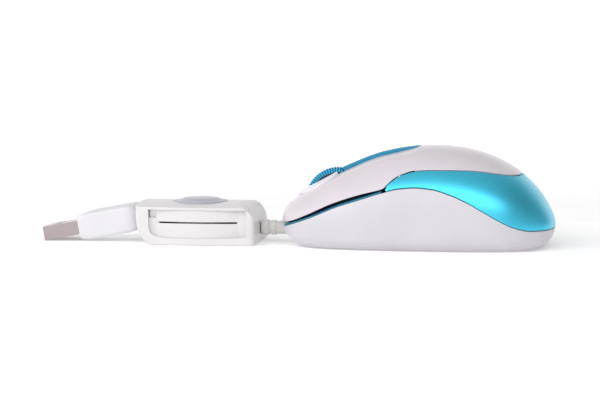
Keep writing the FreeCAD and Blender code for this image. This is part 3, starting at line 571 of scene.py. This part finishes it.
base = base_shell()
band = side_band()
cover = rear_cover()
left_button = button("left_key", -1)
right_button = button("right_key", 1)
strip = centre_strip()
ledge = gap_wall("gap_ledge", 0.5, 0.6, 0.55, -9.9, 1.2)
# The liner is a dark sheet behind the front gap that stands in for the gap's shadow: painted shadow.
liner = gap_wall("gap_painted_shadow_sheet", 1.7, 0.3, 2.4, -9.9, 0.8)
ring = collar()
tyre = wheel()
grip = plug_grip()
for obj, body, nodes in ((base, "mouse_body", ["base_shell"]), (band, "mouse_body", ["blue_side_panel"]),
                         (cover, "mouse_body", ["top_cover"]), (left_button, "left_button", ["left_button"]),
                         (right_button, "right_button", ["right_button"]),
                         (strip, "mouse_body", ["centre_strip"]),
                         (ring, "mouse_body", ["wheel_bezel"]), (tyre, "scroll_wheel", ["wheel_tyre"]),
                         (grip, "plug", ["usb_overmould"]), (ledge, "mouse_body", []),
                         (liner, "mouse_body", [])):
    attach(obj, body)
    if nodes:
        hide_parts(*nodes)


# --- materials ---------------------------------------------------------------------------
def material(name, colour, roughness=0.35, metallic=0.0, coat=0.0, bump=0.0, grain=900.0, tint=0.03,
             alpha=1.0, coat_roughness=0.1):
    """A plastic or metal whose colour varies slightly and whose skin has a fine moulded grain."""
    made = bpy.data.materials.new(name)
    made.use_nodes = True
    nodes, links = made.node_tree.nodes, made.node_tree.links
    shader = nodes["Principled BSDF"]
    shader.inputs["Roughness"].default_value = roughness
    shader.inputs["Metallic"].default_value = metallic
    shader.inputs["Coat Weight"].default_value = coat
    shader.inputs["Coat Roughness"].default_value = coat_roughness
    shader.inputs["Alpha"].default_value = alpha
    place = nodes.new("ShaderNodeTexCoord")
    cloud = nodes.new("ShaderNodeTexNoise")
    cloud.inputs["Scale"].default_value = 60
    cloud.inputs["Detail"].default_value = 3
    links.new(place.outputs["Object"], cloud.inputs["Vector"])
    ramp = nodes.new("ShaderNodeValToRGB")
    dark = [c * (1 - tint) for c in colour]
    light = [min(1, c * (1 + tint)) for c in colour]
    ramp.color_ramp.elements[0].color = (*dark, 1)
    ramp.color_ramp.elements[1].color = (*light, 1)
    ramp.color_ramp.elements[0].position = 0.3
    ramp.color_ramp.elements[1].position = 0.7
    links.new(cloud.outputs["Fac"], ramp.inputs["Fac"])
    links.new(ramp.outputs["Color"], shader.inputs["Base Color"])
    if bump:
        fine = nodes.new("ShaderNodeTexNoise")
        fine.inputs["Scale"].default_value = grain
        fine.inputs["Detail"].default_value = 2
        links.new(place.outputs["Object"], fine.inputs["Vector"])
        relief = nodes.new("ShaderNodeBump")
        relief.inputs["Strength"].default_value = bump
        relief.inputs["Distance"].default_value = 0.0001
        links.new(fine.outputs["Fac"], relief.inputs["Height"])
        links.new(relief.outputs["Normal"], shader.inputs["Normal"])
    return made


def paint(obj, made):
    """Gives an object one material."""
    obj.data.materials.clear()
    obj.data.materials.append(made)


white = material("white_plastic", (0.66, 0.615, 0.655), 0.24, bump=0.02)
white_low = material("white_lower_plastic", (0.60, 0.575, 0.615), 0.33, bump=0.03)
blue = material("blue_metallic_paint", (0.07, 0.60, 0.82), 0.34, metallic=0.85, coat=0.1, bump=0.03,
                grain=2600)
strip_blue = material("strip_blue", (0.015, 0.24, 0.40), 0.35, metallic=0.3, bump=0.03, grain=2600)
# Brighter, glossier copy of the white shell plastic for the collar: a painted highlight on its rim.
collar_white_painted_highlight = material("collar_white_painted_highlight", (0.78, 0.75, 0.80), 0.2)
blue_deep = material("blue_deep", (0.0, 0.22, 0.36), 0.35)
rubber_blue = material("blue_rubber", (0.02, 0.40, 0.68), 0.5, bump=0.1)
# Darker copy of the blue rubber for the tyre's grooves: painted shade.
groove_painted_shade_blue = material("blue_groove_painted_shade", (0.005, 0.14, 0.30), 0.6)
# Near-black for the sheet deep in the front gap: painted shadow.
navy_painted_shadow = material("navy_painted_shadow_liner", (0.004, 0.02, 0.045), 0.5)
# Dark teal copy of the blue paint for the ledge in the front gap: the paint's own blue, darkened by painted
# shade under the buttons' edges.
ledge_teal_painted_shade = material("teal_ledge_painted_shade", (0.01, 0.15, 0.24), 0.35)
relief_white = material("relief_rubber", (0.62, 0.61, 0.59), 0.5, bump=0.08)
reel_white = material("reel_plastic", (0.69, 0.67, 0.675), 0.3, bump=0.02)
cable_white = material("cable_jacket", (0.62, 0.60, 0.62), 0.5, bump=0.05)
plug_white = material("plug_plastic", (0.69, 0.68, 0.71), 0.4, bump=0.04)
steel = material("plug_steel", (0.44, 0.375, 0.375), 0.22, metallic=0.9, bump=0.04, grain=1500)
cap_teal = material("cap_teal", (0.44, 0.45, 0.52), 0.3)
dark = material("black_plastic", (0.02, 0.02, 0.025), 0.5, bump=0.1)
glide = material("glide_pad", (0.05, 0.05, 0.055), 0.6, bump=0.1)
green = material("board_green", (0.03, 0.2, 0.09), 0.45, bump=0.1)
gold = material("contact_gold", (0.8, 0.6, 0.25), 0.3, metallic=1.0)
bright = material("bright_steel", (0.6, 0.6, 0.62), 0.3, metallic=1.0)
clear = material("clear_plastic", (0.85, 0.87, 0.9), 0.1, alpha=0.45)
red = material("red_plastic", (0.7, 0.05, 0.04), 0.3)
for obj, made, slot in ((base, white_low, "white_lower"), (band, blue, "blue_paint"),
                        (cover, white, "white_shell"),
                        (left_button, white, "white_shell"), (right_button, white, "white_shell"),
                        (strip, strip_blue, "blue_paint"), (ring, collar_white_painted_highlight, "white_shell"),
                        (tyre, rubber_blue, "blue_rubber"), (grip, plug_white, "plug_plastic"),
                        (ledge, ledge_teal_painted_shade, "blue_paint"), (liner, navy_painted_shadow, "blue_dark")):
    paint(obj, made)
# Faces in the middle of each groove take the darker rubber: painted shade in the grooves.
tyre.data.materials.append(groove_painted_shade_blue)
for face in tyre.data.polygons:
    spoke = math.atan2(face.center.z / MM - WHEEL_Z, face.center.x / MM - WHEEL_X)
    face.material_index = 1 if 0.3 < (spoke / (2 * math.pi) * WHEEL_RIBS) % 1 < 0.7 else 0
for name in ("reel_base", "reel_lid"):
    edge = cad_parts[name].modifiers.new("soft_edges", "BEVEL")
    edge.width, edge.segments = 0.3 * MM, 3
    edge.limit_method, edge.angle_limit = "ANGLE", math.radians(40)
    edge.harden_normals = True
NODE_MATERIALS = {
    blue_deep: ["inner_frame"],
    dark: ["wheel_hub", "axle_bush", "wheel_encoder", "left_switch", "right_switch", "wheel_plunger",
           "image_sensor", "led_clip", "inner_lead"],
    bright: ["wheel_axle", "wheel_switch", "capacitor", "case_screw", "reel_pin", "clock_spring",
             "reel_latch"],
    green: ["circuit_board"], red: ["left_plunger", "right_plunger", "led"], clear: ["sensor_lens"],
    glide: ["front_glide", "rear_glide_left", "rear_glide_right"], relief_white: ["cable_grommet"],
    cable_white: ["mouse_cable", "plug_cable", "mouse_lead", "plug_lead", "lower_winding", "upper_winding"],
    reel_white: ["reel_base", "reel_lid", "spool", "board_connector", "usb_tongue"], cap_teal: ["reel_cap"],
    steel: ["usb_shell"], gold: ["usb_contacts"]}
for made, names in NODE_MATERIALS.items():
    for name in names:
        paint(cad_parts[name], made)


# --- floor and light ---------------------------------------------------------------------
def ramp_between(nodes, links, source, start, stop, low, high):
    """A smooth run of values between two levels of a source socket."""
    node = nodes.new("ShaderNodeMapRange")
    node.interpolation_type = "SMOOTHSTEP"
    for key, value in (("From Min", start), ("From Max", stop), ("To Min", low), ("To Max", high)):
        node.inputs[key].default_value = value
    links.new(source, node.inputs["Value"])
    return node.outputs["Result"]


SKY_SIDE, SKY_TOP, SKY_RIGHT = 1.12, 0.55, 0.4
FLOOR_GLOW = 0.25


def stage():
    """White floor that glows more away from the object, under a sky dimmer overhead and to the right."""
    bpy.ops.mesh.primitive_plane_add(size=12, location=(0, 0, 0))
    floor = bpy.context.object
    floor.name = "floor"
    made = material("floor_white", (0.92, 0.92, 0.92), 0.7)
    shader = made.node_tree.nodes["Principled BSDF"]
    shader.inputs["Emission Color"].default_value = (1, 1, 1, 1)
    links, nodes = made.node_tree.links, made.node_tree.nodes
    spot = nodes.new("ShaderNodeTexCoord")
    reach = nodes.new("ShaderNodeVectorMath")
    reach.operation = "LENGTH"
    links.new(spot.outputs["Object"], reach.inputs[0])
    glow = ramp_between(nodes, links, reach.outputs["Value"], 0.1, 0.5, FLOOR_GLOW, FLOOR_GLOW + 0.3)
    links.new(glow, shader.inputs["Emission Strength"])
    shader.inputs["Specular IOR Level"].default_value = 0.0
    paint(floor, made)
    world = bpy.data.worlds.new("studio")
    bpy.context.scene.world = world
    world.use_nodes = True
    nodes, links = world.node_tree.nodes, world.node_tree.links
    way = nodes.new("ShaderNodeTexCoord")
    parts = nodes.new("ShaderNodeSeparateXYZ")
    links.new(way.outputs["Generated"], parts.inputs["Vector"])
    overhead = ramp_between(nodes, links, parts.outputs["Z"], 0.12, 0.8, SKY_SIDE, SKY_TOP)
    rightward = ramp_between(nodes, links, parts.outputs["X"], 0.15, 0.85, 1.0, SKY_RIGHT)
    product = nodes.new("ShaderNodeMath")
    product.operation = "MULTIPLY"
    links.new(overhead, product.inputs[0])
    links.new(rightward, product.inputs[1])
    links.new(product.outputs["Value"], nodes["Background"].inputs["Strength"])
    nodes["Background"].inputs["Color"].default_value = (1, 0.995, 1, 1)


def light(name, place, aim, size, power):
    """A rectangular lamp at a place, turned towards its aim."""
    data = bpy.data.lights.new(name, "AREA")
    data.shape = "RECTANGLE"
    data.size, data.size_y = size
    data.energy = power
    lamp = bpy.data.objects.new(name, data)
    lamp.location = place
    lamp.rotation_mode = "QUATERNION"
    lamp.rotation_quaternion = (Vector(aim) - Vector(place)).to_track_quat("-Z", "Y")
    bpy.context.scene.collection.objects.link(lamp)


stage()
light("left_box", (-0.55, -0.45, 0.35), (-0.03, 0, 0.01), (0.4, 0.4), 0.8)
light("front_box", (-0.12, -0.56, 0.5), (-0.03, 0, 0.01), (1.2, 0.35), 2.6)
bpy.context.scene.view_settings.view_transform = "Standard"
